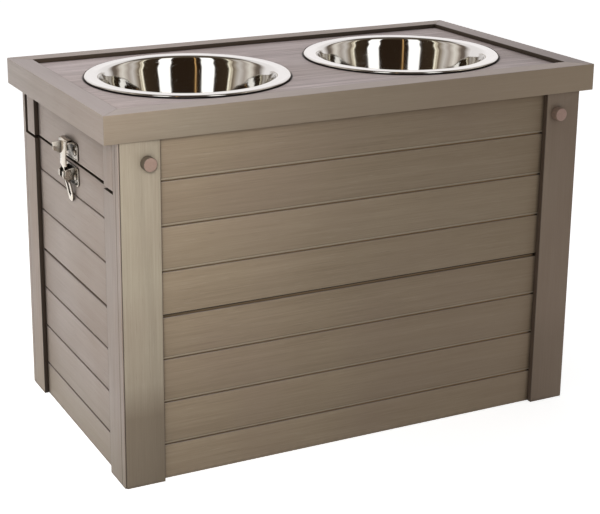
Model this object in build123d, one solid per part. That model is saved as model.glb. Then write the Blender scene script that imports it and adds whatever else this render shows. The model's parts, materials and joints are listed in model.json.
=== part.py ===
"""Elevated dog feeder with a storage chest, in millimetres, +Z up, origin at the middle of its footprint.

The chest is four walls that meet in mitred corners. Each wall is a pair of upright boards with plank
panels slid into their grooves. Round pegs lock the front and back walls to inner corner cleats. The
lid is a mitred frame round a sunken deck that carries two steel bowls, and it has a short skirt of
its own in each side. A draw latch in the middle of each side holds the skirt down on the chest.
"""
from build123d import *
import os

# ---------------------------------------------------------------- driving dimensions
BODY_LENGTH = 560.0            # over the side boards, along X
BODY_DEPTH = 316.0             # over the posts, along Y
WALL_TOP = 375.5               # top of the chest, where the lid frame rests
BOARD = 17.0                   # thickness of the upright boards
CORNER_LINE = 1.8              # square notch down the arris, where two mitred boards meet

POST_WIDTH = 45.0              # upright boards seen from the front and the back
STILE_WIDTH = 44.0             # upright boards seen from the sides
PLANK = 10.0                   # thickness of the plank panels
GROOVE_HOLD = 6.0              # how far the panels slide into the uprights
GROOVE_PLAY = 0.1
FRONT_RECESS = 6.5             # planks stand back from the post faces
SIDE_RECESS = 5.5

PLANK_PITCH = 48.4             # from one plank line to the next
PANEL_JOINT = 184.0            # middle of the wide line between the two stacked panels
PANEL_GAP = 4.0
TONGUE_HEIGHT, TONGUE = 6.0, 3.0
LINE_BEVEL, LINE_BEVEL_DEPTH = 2.4, 1.3
LINE_SLOT, LINE_DEPTH = 1.4, 2.8

SPLIT = 320.0                  # height at which the lid's skirt parts from the side walls
SPLIT_GAP = 3.0
FRONT_STRIP = 17.6             # what is left of the front stile beside the skirt
BACK_STRIP = 10.0
SKIRT_HALF_DEPTH = 139.4

LID_OVERHANG_X = 15.4
LID_OVERHANG_Y = 2.4
LID_FRAME_HEIGHT = 30.0
LID_RAIL = 14.0                # rail below the deck level
LID_TOP_BORDER = 24.0          # border seen from above
DECK_DROP = 5.0                # deck lies this far below the border
DECK = 10.0
EDGE_ROUND = 0.8

BOWL_X = 137.0                 # bowls from the middle of the lid
BOWL_RIM_RADIUS = 115.0
BOWL_MOUTH_RADIUS = 101.0
BOWL_FLOOR_RADIUS = 84.0
BOWL_DEPTH = 70.0
BOWL_SHEET = 1.0
RIM_BEAD = 1.6                 # radius of the rolled edge
DECK_HOLE_RADIUS = 104.5

PEG_RADIUS = 7.5
PEG_INSET = 31.0               # from the corner of the chest to the peg's axis
PEG_HEIGHT = 352.3
PEG_STANDS_OUT = 9.0
PEG_IN_CLEAT = 20.0
PEG_PLAY = 0.1

CLEAT = 26.0                   # inner corner cleats, square
CLEAT_BOTTOM, CLEAT_TOP = 30.0, 372.0
CLEAT_SKIRT_PLAY = 1.2
FLOOR, FLOOR_BATTEN_HEIGHT, FLOOR_BATTEN_WIDTH = 10.0, 8.0, 20.0
FLOOR_PLAY = 0.5
SKIRT_CLEAT, SKIRT_CLEAT_HALF = 18.0, 92.0

LATCH_SHEET = 1.2
LATCH_HALF_WIDTH = 23.5
PLATE_CORNER = 4.0
PLATE_RIM, PLATE_RIM_HEIGHT = 1.6, 0.5      # raised edge pressed into both plates
BASE_BOTTOM, BASE_TOP = 295.0, 316.0
KEEPER_BOTTOM, KEEPER_TOP = 322.5, 342.5
LATCH_SCREW_Y = 13.0
LATCH_SCREW_RISE = 8.5         # above a plate's lower edge
# Points of the latch are (out from the planks, height).
LEVER_PIVOT = (8.0, 307.5)
LINK_PIVOT = (7.0, 301.0)      # inward of the pull line at rest, so the closed latch holds itself shut
PIVOT_PIN_RADIUS, LINK_PIN_RADIUS, PIN_PLAY = 1.5, 1.3, 0.06
EAR_INNER, EAR_REACH, EAR_ROUND = 8.1, 11.6, 3.6
CHEEK_INNER, CHEEK_SHEET = 6.6, 1.2
LEVER_SHEET, LEVER_BEND = 1.5, 2.5
LEVER_PATH = [(12.3, 309.6), (12.3, 303.0), (6.0, 297.2), (2.9, 283.0), (1.7, 274.5)]
LEVER_CHEEK = [(12.3, 309.6), (8.0, 311.4), (4.4, 309.4), (3.3, 301.0), (6.0, 297.2), (12.3, 303.0)]
# The three plans below are (half width, height).
LEVER_HALF_WIDTH = 9.2
LEVER_PLAN = [
    (7.8, 320.0), (7.8, 299.0), (9.2, 296.0), (9.2, 284.5), (8.2, 279.5), (5.4, 275.4), (2.2, 274.0),
]
LEVER_SLOT_PLAN = [(4.2, 320.0), (4.2, 296.0), (3.2, 293.5), (2.8, 282.5), (1.2, 280.0)]
LINK_SHEET, LINK_BEND, LINK_FOOT_HALF = 1.5, 1.3, 3.6
LINK_STEM_OUT = 9.7            # middle of the sheet
CLAW_GAP = 0.35                # between the closed claw and the keeper's roof
CLAW_END_OUT = 3.2
LINK_PLAN = [
    (11.0, 350.0), (11.0, 338.5), (9.6, 335.5), (8.4, 325.0), (9.4, 315.4), (3.6, 313.6), (3.6, 290.0),
]
ROOF_OUT, ROOF_SIDE_OUT = 8.2, 4.5
ROOF_HALF_WIDTH = 15.0
FIN_SHEET = 1.2
FIN_OUTLINE = [(9.7, 341.0), (19.0, 340.2), (18.2, 331.2), (9.7, 326.6)]
FIN_SIDE = 7.4                 # inner face of the fin, from the middle of the arm
SCREW_HEAD_RADIUS, SCREW_HEAD, SCREW_RADIUS, SCREW_LENGTH = 3.4, 1.8, 1.6, 8.0
SCREW_SLOT, SCREW_SLOT_DEPTH, SCREW_PLAY = 0.9, 0.7, 0.1

# ---------------------------------------------------------------- worked out
HALF_LENGTH, HALF_DEPTH = BODY_LENGTH / 2, BODY_DEPTH / 2
LID_TOP = WALL_TOP + LID_FRAME_HEIGHT
DECK_TOP = LID_TOP - DECK_DROP
DECK_BOTTOM = DECK_TOP - DECK
SKIRT_BOTTOM, CHEST_SIDE_TOP = SPLIT + SPLIT_GAP / 2, SPLIT - SPLIT_GAP / 2
JOINT_LOW, JOINT_HIGH = PANEL_JOINT - PANEL_GAP / 2, PANEL_JOINT + PANEL_GAP / 2
LOWER_LINES = [PANEL_JOINT - PLANK_PITCH * n for n in (1, 2, 3)]
UPPER_LINES = [PANEL_JOINT + PLANK_PITCH * n for n in (1, 2, 3)]
SIDE_UPPER_LINES = UPPER_LINES[:2]
PLANK_FACE_X = HALF_LENGTH - SIDE_RECESS
NOTCH_BOTTOM = SKIRT_BOTTOM - SPLIT_GAP

# Each wall is drawn facing -Y with its outer face on Y = 0, and is then turned and moved to its side.
WALL_PLACE = {
    "front": Pos(0, -HALF_DEPTH, 0),
    "back": Pos(0, HALF_DEPTH, 0) * Rot(0, 0, 180),
    "left": Pos(-HALF_LENGTH, 0, 0) * Rot(0, 0, -90),
    "right": Pos(HALF_LENGTH, 0, 0) * Rot(0, 0, 90),
}
# The latch is drawn on the left side as (out from the planks, height) and extruded along Y.
LATCH_PLACE = Plane(origin=(-PLANK_FACE_X, 0, 0), x_dir=(-1, 0, 0), z_dir=(0, 1, 0)).location
SIDES = ("left", "right")

parts = {}


# ---------------------------------------------------------------- general shapes
def block(x, y, z):
    """A box from its (low, high) along each axis."""
    size = [high - low for low, high in (x, y, z)]
    return Pos(*[(low + high) / 2 for low, high in (x, y, z)]) * Box(*size)


def outline(points):
    return make_face(Polyline(*points, close=True))


def upright(points, bottom, top):
    """A prism that stands on its outline in the XY plane."""
    return Pos(0, 0, bottom) * extrude(outline(points), amount=top - bottom)


def along_x(points, half_length):
    """A prism along X, from its outline as (Y, Z)."""
    face = Plane.YZ * outline(points)
    return Pos(-half_length, 0, 0) * extrude(face, amount=2 * half_length)


def on_side(shape, side):
    """The left side's piece, or its mirror image for the right side."""
    return shape if side == "left" else mirror(shape, about=Plane.YZ)


# ---------------------------------------------------------------- walls of the chest
def upright_board(half_wall, width, recess, top):
    """The board at a wall's -X end: mitred down its outer edge and grooved down its inner edge."""
    corner, inner = -half_wall, -half_wall + width
    slot_front, slot_back = recess - GROOVE_PLAY, recess + PLANK + GROOVE_PLAY
    slot_end = inner - GROOVE_HOLD
    return upright(
        [
            (corner + CORNER_LINE, 0), (inner, 0), (inner, slot_front), (slot_end, slot_front),
            (slot_end, slot_back), (inner, slot_back), (inner, BOARD), (corner + BOARD, BOARD),
            (corner + CORNER_LINE, CORNER_LINE),
        ],
        0, top,
    )


def post_board(strip):
    """A front or back upright, bored for its peg, its mitre cut back beside the skirt to the strip."""
    board = upright_board(HALF_LENGTH, POST_WIDTH, FRONT_RECESS, WALL_TOP)
    corner = -HALF_LENGTH
    if strip < BOARD:
        board -= block(
            (corner - 1, corner + BOARD), (strip, BOARD + 1), (NOTCH_BOTTOM, WALL_TOP + 1)
        )
    bore = Pos(corner + PEG_INSET, BOARD / 2, PEG_HEIGHT) * Rot(90, 0, 0)
    return board - bore * Cylinder(PEG_RADIUS + PEG_PLAY, 2 * BOARD)


def stile_board(strip):
    """A side upright, cut away above the split so that only a strip runs on up beside the skirt."""
    board = upright_board(HALF_DEPTH, STILE_WIDTH, SIDE_RECESS, WALL_TOP)
    corner = -HALF_DEPTH
    notch = block(
        (corner + strip, corner + STILE_WIDTH + 1), (-1, BOARD + 1), (NOTCH_BOTTOM, WALL_TOP + 1)
    )
    return board - notch


def panel_outline(recess, bottom, top, lines, slot_below=False, tongue_above=False):
    """A plank panel's section as (Y, Z): its face has a bevelled line at each height in lines."""
    face, back = recess, recess + PLANK
    middle = (face + back) / 2
    points = [(face, bottom)]
    for z in sorted(lines):
        low, high = z - LINE_SLOT / 2, z + LINE_SLOT / 2
        points += [
            (face, low), (face + LINE_DEPTH, low), (face + LINE_DEPTH, high),
            (face + LINE_BEVEL_DEPTH, high), (face, high + LINE_BEVEL),
        ]
    points.append((face, top))
    if tongue_above:
        near, far = middle - TONGUE / 2, middle + TONGUE / 2
        points += [(near, top), (near, top + TONGUE_HEIGHT), (far, top + TONGUE_HEIGHT), (far, top)]
    points += [(back, top), (back, bottom)]
    if slot_below:
        near, far = middle - TONGUE / 2 - GROOVE_PLAY, middle + TONGUE / 2 + GROOVE_PLAY
        roof = bottom + TONGUE_HEIGHT
        points += [(far, bottom), (far, roof), (near, roof), (near, bottom)]
    return points


def plank_panel(half_wall, width, recess, bottom, top, lines, **edges):
    half_span = half_wall - width + GROOVE_HOLD - GROOVE_PLAY
    return along_x(panel_outline(recess, bottom, top, lines, **edges), half_span)


def add_long_walls():
    """The front and back walls: two posts and two stacked panels each."""
    upper = plank_panel(
        HALF_LENGTH, POST_WIDTH, FRONT_RECESS, JOINT_HIGH, WALL_TOP, UPPER_LINES, slot_below=True
    )
    lower = plank_panel(
        HALF_LENGTH, POST_WIDTH, FRONT_RECESS, 0, JOINT_LOW, LOWER_LINES, tongue_above=True
    )
    for wall, strip in (("front", FRONT_STRIP), ("back", BACK_STRIP)):
        place = WALL_PLACE[wall]
        post = post_board(strip)
        near, far = SIDES if wall == "front" else SIDES[::-1]
        parts[f"{wall}_{near}_post"] = place * post
        parts[f"{wall}_{far}_post"] = place * mirror(post, about=Plane.YZ)
        parts[f"{wall}_upper_planks"] = place * upper
        parts[f"{wall}_lower_planks"] = place * lower


def add_side_walls():
    """The side walls, which end at the split so that the lid's skirts can sit on them."""
    lower = plank_panel(
        HALF_DEPTH, STILE_WIDTH, SIDE_RECESS, 0, JOINT_LOW, LOWER_LINES, tongue_above=True
    )
    upper = plank_panel(
        HALF_DEPTH, STILE_WIDTH, SIDE_RECESS, JOINT_HIGH, CHEST_SIDE_TOP, SIDE_UPPER_LINES,
        slot_below=True,
    )
    # Seen from outside, the left wall has the back of the chest on its left.
    back_stile = stile_board(BACK_STRIP)
    front_stile = mirror(stile_board(FRONT_STRIP), about=Plane.YZ)
    place = WALL_PLACE["left"]
    pieces = {
        "back_stile": place * back_stile,
        "front_stile": place * front_stile,
        "lower_planks": place * lower,
        "upper_planks": place * upper - screw_holes(BASE_BOTTOM),
    }
    for side in SIDES:
        for name, shape in pieces.items():
            parts[f"{side}_{name}"] = on_side(shape, side)


def corner_cleat():
    """The front left inner cleat, relieved beside the skirt and bored for its peg."""
    x0, y0 = -HALF_LENGTH + BOARD, -HALF_DEPTH + BOARD
    cleat = block((x0, x0 + CLEAT), (y0, y0 + CLEAT), (CLEAT_BOTTOM, CLEAT_TOP))
    relief = block(
        (x0 - 1, x0 + CLEAT_SKIRT_PLAY), (y0 - 1, y0 + CLEAT + 1), (NOTCH_BOTTOM, CLEAT_TOP + 1)
    )
    bore_length = PEG_IN_CLEAT + 1
    bore = Pos(-HALF_LENGTH + PEG_INSET, y0 + bore_length / 2, PEG_HEIGHT) * Rot(90, 0, 0)
    return cleat - relief - bore * Cylinder(PEG_RADIUS + PEG_PLAY, bore_length)


def corner_peg():
    """The front left peg: a plain dowel with its outer end lightly chamfered."""
    length = PEG_STANDS_OUT + BOARD + PEG_IN_CLEAT
    peg = Cylinder(PEG_RADIUS, length, align=(Align.CENTER, Align.CENTER, Align.MIN))
    peg = chamfer(peg.edges().group_by(Axis.Z)[-1], EDGE_ROUND)
    inner_end = -HALF_DEPTH + BOARD + PEG_IN_CLEAT
    return Pos(-HALF_LENGTH + PEG_INSET, inner_end, PEG_HEIGHT) * Rot(90, 0, 0) * peg


def add_corners():
    cleat, peg = corner_cleat(), corner_peg()
    for wall in ("front", "back"):
        for side in SIDES:
            for name, shape in (("cleat", cleat), ("peg", peg)):
                placed = on_side(shape, side)
                if wall == "back":
                    placed = mirror(placed, about=Plane.XZ)
                parts[f"{wall}_{side}_{name}"] = placed


def add_floor():
    """The chest's floor, on two battens."""
    half_x = HALF_LENGTH - BOARD - FLOOR_PLAY
    half_y = HALF_DEPTH - BOARD - FLOOR_PLAY
    bottom = FLOOR_BATTEN_HEIGHT
    parts["floor_panel"] = block((-half_x, half_x), (-half_y, half_y), (bottom, bottom + FLOOR))
    batten = block((-half_x, half_x), (-half_y, -half_y + FLOOR_BATTEN_WIDTH), (0, bottom))
    parts["front_floor_batten"] = batten
    parts["back_floor_batten"] = mirror(batten, about=Plane.XZ)


# ---------------------------------------------------------------- lid
def lid_rail(half_length, half_depth):
    """The rail along a lid's -Y side: a rebated section, mitred at both ends."""
    y = -half_depth
    section = [
        (y, WALL_TOP), (y + LID_RAIL, WALL_TOP), (y + LID_RAIL, DECK_TOP),
        (y + LID_TOP_BORDER, DECK_TOP), (y + LID_TOP_BORDER, LID_TOP), (y, LID_TOP),
    ]
    rail = along_x(section, half_length)
    rail = fillet(rail.edges().filter_by(Axis.X).sort_by(Axis.Z)[-2:], EDGE_ROUND)
    cut = upright(
        [
            (-half_length, y), (half_length, y),
            (half_length - LID_TOP_BORDER, y + LID_TOP_BORDER),
            (-half_length + LID_TOP_BORDER, y + LID_TOP_BORDER),
        ],
        WALL_TOP - 1, LID_TOP + 1,
    )
    return rail & cut


def add_lid_frame():
    half_x, half_y = HALF_LENGTH + LID_OVERHANG_X, HALF_DEPTH + LID_OVERHANG_Y
    front = lid_rail(half_x, half_y)
    left = Rot(0, 0, -90) * lid_rail(half_y, half_x)
    parts["lid_front_rail"] = front
    parts["lid_back_rail"] = mirror(front, about=Plane.XZ)
    for side in SIDES:
        parts[f"lid_{side}_rail"] = on_side(left, side)

    edge = LID_RAIL + FLOOR_PLAY / 2
    deck = block(
        (-half_x + edge, half_x - edge), (-half_y + edge, half_y - edge), (DECK_BOTTOM, DECK_TOP)
    )
    for x in (-BOWL_X, BOWL_X):
        hole = Pos(x, 0, DECK_BOTTOM + DECK / 2) * Cylinder(DECK_HOLE_RADIUS, 2 * DECK)
        deck -= hole
    parts["lid_deck"] = deck


def add_skirts():
    """The part of each side that lifts with the lid: planks between two short stub boards."""
    half = SKIRT_HALF_DEPTH
    stub_width = STILE_WIDTH - FRONT_STRIP - (HALF_DEPTH - FRONT_STRIP - half)
    inner = half - stub_width
    place = WALL_PLACE["left"]
    slot_end = -inner - GROOVE_HOLD
    stub = upright(
        [
            (-half, 0), (-inner, 0), (-inner, SIDE_RECESS - GROOVE_PLAY),
            (slot_end, SIDE_RECESS - GROOVE_PLAY), (slot_end, SIDE_RECESS + PLANK + GROOVE_PLAY),
            (-inner, SIDE_RECESS + PLANK + GROOVE_PLAY), (-inner, BOARD), (-half, BOARD),
        ],
        SKIRT_BOTTOM, DECK_BOTTOM,
    )
    planks = along_x(
        panel_outline(SIDE_RECESS, SKIRT_BOTTOM, DECK_BOTTOM, []),
        inner + GROOVE_HOLD - GROOVE_PLAY,
    )
    inner_face = -PLANK_FACE_X + PLANK
    pieces = {
        "skirt_back_stub": place * stub,
        "skirt_front_stub": place * mirror(stub, about=Plane.YZ),
        "skirt_planks": place * planks - screw_holes(KEEPER_BOTTOM),
        "skirt_cleat": block(
            (inner_face, inner_face + SKIRT_CLEAT),
            (-SKIRT_CLEAT_HALF, SKIRT_CLEAT_HALF),
            (DECK_BOTTOM - SKIRT_CLEAT, DECK_BOTTOM),
        ),
    }
    for side in SIDES:
        for name, shape in pieces.items():
            parts[f"{side}_{name}"] = on_side(shape, side)


def feeding_bowl():
    """A spun steel bowl: rolled edge, flat flange, sloping wall and a round heel."""
    t = BOWL_SHEET
    top = DECK_TOP + 2 * RIM_BEAD
    bottom = top - BOWL_DEPTH
    flange_outer = BOWL_RIM_RADIUS - RIM_BEAD
    profile = outline(
        [
            (0, bottom), (BOWL_FLOOR_RADIUS, bottom), (BOWL_MOUTH_RADIUS, top - t),
            (flange_outer, top - t), (flange_outer, top), (BOWL_MOUTH_RADIUS - t, top),
            (BOWL_FLOOR_RADIUS - t, bottom + t), (0, bottom + t),
        ]
    )
    heel = [v for v in profile.vertices() if 1 < v.X < BOWL_MOUTH_RADIUS - 2 * t and v.Y < top - 2 * t]
    outer_heel = [v for v in heel if v.Y < bottom + t / 2]
    inner_heel = [v for v in heel if v.Y > bottom + t / 2]
    profile = fillet(outer_heel, 18 + t)
    profile = fillet([v for v in profile.vertices() if inner_heel[0].distance_to(v) < 1e-3], 18)
    mouth = [v for v in profile.vertices() if abs(v.X - BOWL_MOUTH_RADIUS) < 2 * t and v.Y > top - 2 * t]
    for v in mouth:
        near = [w for w in profile.vertices() if v.distance_to(w) < 1e-3]
        profile = fillet(near, 3 if v.Y < top - t / 2 else 3 + t)
    bead = Pos(flange_outer, top - RIM_BEAD) * Circle(RIM_BEAD)
    return revolve(Plane.XZ * (profile + bead), axis=Axis.Z)


def add_bowls():
    bowl = feeding_bowl()
    parts["left_bowl"] = Pos(-BOWL_X, 0, 0) * bowl
    parts["right_bowl"] = Pos(BOWL_X, 0, 0) * bowl


# ---------------------------------------------------------------- draw latches
def latch_prism(points, y_low, y_high):
    """A prism along Y on the left side, from its outline as (out, height)."""
    return LATCH_PLACE * (Pos(0, 0, y_low) * extrude(outline(points), amount=y_high - y_low))


def bent_strip(points, radius, sheet, half_width):
    """A strip of sheet metal bent along a path given as (out, height)."""
    face = trace(FilletPolyline(*points, radius=radius), sheet)
    return LATCH_PLACE * (Pos(0, 0, -half_width) * extrude(face, amount=2 * half_width))


def plan_prism(halves):
    """A symmetric prism that points out from the left side, from its (half width, height) points."""
    face = outline(halves + [(-half, height) for half, height in halves[::-1]])
    return Pos(-PLANK_FACE_X - 30, 0, 0) * Plane.YZ.location * extrude(face, amount=40)


def latch_pin(centre, radius, y_low, y_high):
    spot = Pos(centre[0], centre[1], (y_low + y_high) / 2)
    return LATCH_PLACE * (spot * Cylinder(radius, y_high - y_low))


def latch_plate(bottom, top):
    """A round-cornered plate flat on the planks, with a raised edge and two screw holes."""
    plane = Plane(origin=(-PLANK_FACE_X, 0, (bottom + top) / 2), x_dir=(0, 1, 0), z_dir=(-1, 0, 0))
    width, height = 2 * LATCH_HALF_WIDTH, top - bottom
    face = RectangleRounded(width, height, PLATE_CORNER)
    middle = RectangleRounded(width - 2 * PLATE_RIM, height - 2 * PLATE_RIM, PLATE_CORNER - PLATE_RIM)
    plate = extrude(plane * face, amount=LATCH_SHEET)
    plate += extrude(plane * (face - middle), amount=LATCH_SHEET + PLATE_RIM_HEIGHT)
    return plate - screw_holes(bottom, SCREW_RADIUS + 2 * SCREW_PLAY)


def screw_holes(plate_bottom, radius=SCREW_RADIUS + SCREW_PLAY):
    """The bores of one plate's two screws, through the plate and the planks on the left side."""
    height = plate_bottom + LATCH_SCREW_RISE
    bores = [
        Pos(-PLANK_FACE_X, y, height) * Rot(0, 90, 0) * Cylinder(radius, 2 * PLANK)
        for y in (-LATCH_SCREW_Y, LATCH_SCREW_Y)
    ]
    return Compound(children=bores)


def latch_screws(plate_bottom):
    """Two pan-head screws with slotted heads."""
    head = Cylinder(SCREW_HEAD_RADIUS, SCREW_HEAD, align=(Align.CENTER, Align.CENTER, Align.MIN))
    head = fillet(head.edges().group_by(Axis.Z)[-1], 1.2)
    head -= Pos(0, 0, SCREW_HEAD) * Box(2 * SCREW_HEAD_RADIUS, SCREW_SLOT, 2 * SCREW_SLOT_DEPTH)
    shank = Cylinder(SCREW_RADIUS, SCREW_LENGTH, align=(Align.CENTER, Align.CENTER, Align.MAX))
    height = plate_bottom + LATCH_SCREW_RISE
    outer = -PLANK_FACE_X - LATCH_SHEET
    return [
        Pos(outer, y, height) * Rot(0, -90, 0) * Rot(0, 0, turn) * (head + shank)
        for y, turn in ((-LATCH_SCREW_Y, 35), (LATCH_SCREW_Y, -20))
    ]


def latch_base():
    """The fixed plate on the chest, with two ears that carry the lever."""
    base = latch_plate(BASE_BOTTOM, BASE_TOP)
    z = LEVER_PIVOT[1]
    ear = outline(
        [(0, BASE_BOTTOM + 3), (EAR_REACH, z - EAR_ROUND), (EAR_REACH, z + EAR_ROUND), (0, BASE_TOP - 2)]
    )
    ear = fillet([v for v in ear.vertices() if v.X > 1], 3.0)
    ear -= Pos(*LEVER_PIVOT) * Circle(PIVOT_PIN_RADIUS + PIN_PLAY)
    for y in (EAR_INNER, -EAR_INNER - LATCH_SHEET):
        base += LATCH_PLACE * (Pos(0, 0, y) * extrude(ear, amount=LATCH_SHEET))
    return base


def lever_rivets():
    """Two short rivets, one through each ear and cheek, which leave the middle free for the arm."""
    inner, outer = CHEEK_INNER - 0.6, EAR_INNER + LATCH_SHEET + 0.8
    rivets = []
    for low, high in ((inner, outer), (-outer, -inner)):
        head = (outer - 0.7, outer) if low > 0 else (-outer, -outer + 0.7)
        shank = latch_pin(LEVER_PIVOT, PIVOT_PIN_RADIUS, low, high)
        rivets.append(shank + latch_pin(LEVER_PIVOT, 2 * PIVOT_PIN_RADIUS, *head))
    return rivets


def latch_lever():
    """The hand lever: a slotted, pointed strip whose upper cheeks turn on the rivets."""
    lever = bent_strip(LEVER_PATH, LEVER_BEND, LEVER_SHEET, LEVER_HALF_WIDTH)
    lever = (lever & plan_prism(LEVER_PLAN)) - plan_prism(LEVER_SLOT_PLAN)
    cheek = outline(LEVER_CHEEK)
    cheek = fillet([v for v in cheek.vertices() if v.X < LEVER_PIVOT[0] - 1], 1.5)
    for centre, radius in ((LEVER_PIVOT, PIVOT_PIN_RADIUS), (LINK_PIVOT, LINK_PIN_RADIUS)):
        cheek -= Pos(*centre) * Circle(radius + PIN_PLAY)
    for y in (CHEEK_INNER, -CHEEK_INNER - CHEEK_SHEET):
        lever += LATCH_PLACE * (Pos(0, 0, y) * extrude(cheek, amount=CHEEK_SHEET))
    return lever


def link_pin():
    half = CHEEK_INNER + CHEEK_SHEET
    return latch_pin(LINK_PIVOT, LINK_PIN_RADIUS, -half, half)


def latch_arm():
    """The arm that the lever draws down: an eye round its pin, a waisted strip, a claw and a fin."""
    out, z = LINK_PIVOT
    bore = LINK_PIN_RADIUS + PIN_PLAY
    eye = Circle(bore + LINK_SHEET) - Circle(bore)
    eye = LATCH_PLACE * (Pos(out, z, -LINK_FOOT_HALF) * extrude(eye, amount=2 * LINK_FOOT_HALF))
    claw_z = KEEPER_TOP + (LATCH_SHEET + LINK_SHEET) / 2 + CLAW_GAP
    eye_side = out + bore + LINK_SHEET / 2
    path = [
        (eye_side, z), (eye_side, z + 7), (LINK_STEM_OUT, z + 12), (LINK_STEM_OUT, claw_z),
        (CLAW_END_OUT, claw_z),
    ]
    strip = bent_strip(path, LINK_BEND, LINK_SHEET, LINK_PLAN[0][0])
    fin = latch_prism(FIN_OUTLINE, FIN_SIDE, FIN_SIDE + FIN_SHEET)
    return (strip & plan_prism(LINK_PLAN)) + eye + fin


def latch_keeper():
    """The plate on the skirt, with a flat roof and a wider step in it that the claw lies over."""
    keeper = latch_plate(KEEPER_BOTTOM, KEEPER_TOP)
    middle = LATCH_SHEET / 2
    for reach, half in ((ROOF_OUT, ROOF_HALF_WIDTH), (ROOF_SIDE_OUT, LATCH_HALF_WIDTH - PLATE_CORNER)):
        path = [(middle, KEEPER_TOP - 6), (middle, KEEPER_TOP), (reach, KEEPER_TOP)]
        keeper += bent_strip(path, 0.9, LATCH_SHEET, half)
    return keeper


def add_latches():
    pieces = {
        "latch_base": latch_base(),
        "latch_base_screws": latch_screws(BASE_BOTTOM),
        "latch_rivets": lever_rivets(),
        "latch_lever": latch_lever(),
        "latch_link_pin": link_pin(),
        "latch_arm": latch_arm(),
        "latch_keeper": latch_keeper(),
        "latch_keeper_screws": latch_screws(KEEPER_BOTTOM),
    }
    for side in SIDES:
        for name, shape in pieces.items():
            solids = shape if isinstance(shape, list) else [shape]
            placed = [on_side(s, side) for s in solids]
            parts[f"{side}_{name}"] = placed[0] if len(placed) == 1 else Compound(children=placed)


# ---------------------------------------------------------------- build and write
add_long_walls()
add_side_walls()
add_corners()
add_floor()
add_lid_frame()
add_skirts()
add_bowls()
add_latches()

os.makedirs("parts", exist_ok=True)
for name, shape in parts.items():
    export_step(shape, f"parts/{name}.step")
print(len(parts), "parts written")
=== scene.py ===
# %% [markdown]
# # A raised dog feeder with a storage chest
# The boards, bowls and latches already exist as solids that move on their own bodies. This lesson
# dresses them: it eases the arrises of every board, spins the bowls, sets the screws, and gives each
# piece a finish worked out from its own place on the object. Everything is in metres, +Z up.

# %% Load the solids and measure them
import json
import math
import bmesh
import bpy
from mathutils import Matrix, Vector


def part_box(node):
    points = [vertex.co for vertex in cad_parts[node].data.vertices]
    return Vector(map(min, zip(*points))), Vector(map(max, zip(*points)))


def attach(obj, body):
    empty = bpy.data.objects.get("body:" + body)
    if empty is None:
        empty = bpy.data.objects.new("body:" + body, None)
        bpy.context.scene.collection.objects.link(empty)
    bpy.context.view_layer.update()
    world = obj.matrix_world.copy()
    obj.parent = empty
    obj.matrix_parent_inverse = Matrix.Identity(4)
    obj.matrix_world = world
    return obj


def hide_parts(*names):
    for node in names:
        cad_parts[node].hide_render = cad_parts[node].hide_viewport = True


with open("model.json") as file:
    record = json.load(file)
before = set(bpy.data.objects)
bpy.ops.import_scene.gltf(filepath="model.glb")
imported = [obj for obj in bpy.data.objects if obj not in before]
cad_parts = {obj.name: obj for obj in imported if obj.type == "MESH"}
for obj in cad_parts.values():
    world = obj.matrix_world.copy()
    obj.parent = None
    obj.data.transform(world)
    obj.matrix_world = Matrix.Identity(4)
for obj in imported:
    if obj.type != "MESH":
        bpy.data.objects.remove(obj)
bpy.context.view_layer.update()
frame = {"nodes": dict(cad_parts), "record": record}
record = frame["record"]
BODY_OF = {node: body for body, nodes in record["behaviour"]["bodies"].items() for node in nodes}
SLOT_OF = {part["node"]: part["material_slot"] for part in record["subparts"]}

# %% [markdown]
# ## Small helpers
# Node trees are easier to read when each node is one line. These helpers add a node with its
# settings and inputs, and wire anything that is an output socket.

# %% Node helpers
def feed(tree, socket, value):
    """Link an output socket into this one, or set a plain value; a colour may leave out its alpha."""
    if isinstance(value, bpy.types.NodeSocket):
        tree.links.new(value, socket)
    else:
        socket.default_value = (*value, 1) if socket.type == "RGBA" and len(value) == 3 else value


def add(tree, kind, settings=None, **inputs):
    """A node in the tree. Inputs are values or output sockets, by socket name with _ for spaces,
    or by number as i0, i1 and so on."""
    node = tree.nodes.new(kind)
    for name, value in (settings or {}).items():
        setattr(node, name, value)
    for name, value in inputs.items():
        by_number = name[0] == "i" and name[1:].isdigit()
        feed(tree, node.inputs[int(name[1:]) if by_number else name.replace("_", " ")], value)
    return node


def calc(tree, operation, *values, clamp=False):
    """A Math node's result."""
    node = add(tree, "ShaderNodeMath", {"operation": operation, "use_clamp": clamp})
    for socket, value in zip(node.inputs, values):
        feed(tree, socket, value)
    return node.outputs[0]


def remap(tree, value, start, stop, low=0.0, high=1.0):
    """A Map Range node's result: low at start and high at stop, and held beyond them."""
    return add(tree, "ShaderNodeMapRange", Value=value, i1=start, i2=stop, i3=low, i4=high).outputs[0]


def noise(tree, place, scale, detail, **more):
    """A Noise Texture's value."""
    return add(tree, "ShaderNodeTexNoise", Vector=place, Scale=scale, Detail=detail, **more).outputs[0]


def axes(tree, place):
    """The X, Y and Z sockets of a place."""
    return add(tree, "ShaderNodeSeparateXYZ", Vector=place).outputs


def vector(tree, **parts):
    """A vector made from X, Y and Z; what is left out is zero."""
    return add(tree, "ShaderNodeCombineXYZ", **parts).outputs[0]


def distance(tree, x, y):
    """How far (x, y) is from the origin."""
    squares = calc(tree, "POWER", x, 2.0), calc(tree, "POWER", y, 2.0)
    return calc(tree, "SQRT", calc(tree, "ADD", *squares))


def blend_colour(tree, factor, a, b):
    """A Mix node's colour result; a and b are colours or sockets."""
    return add(tree, "ShaderNodeMix", {"data_type": "RGBA"}, i0=factor, i6=a, i7=b).outputs[2]


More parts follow.
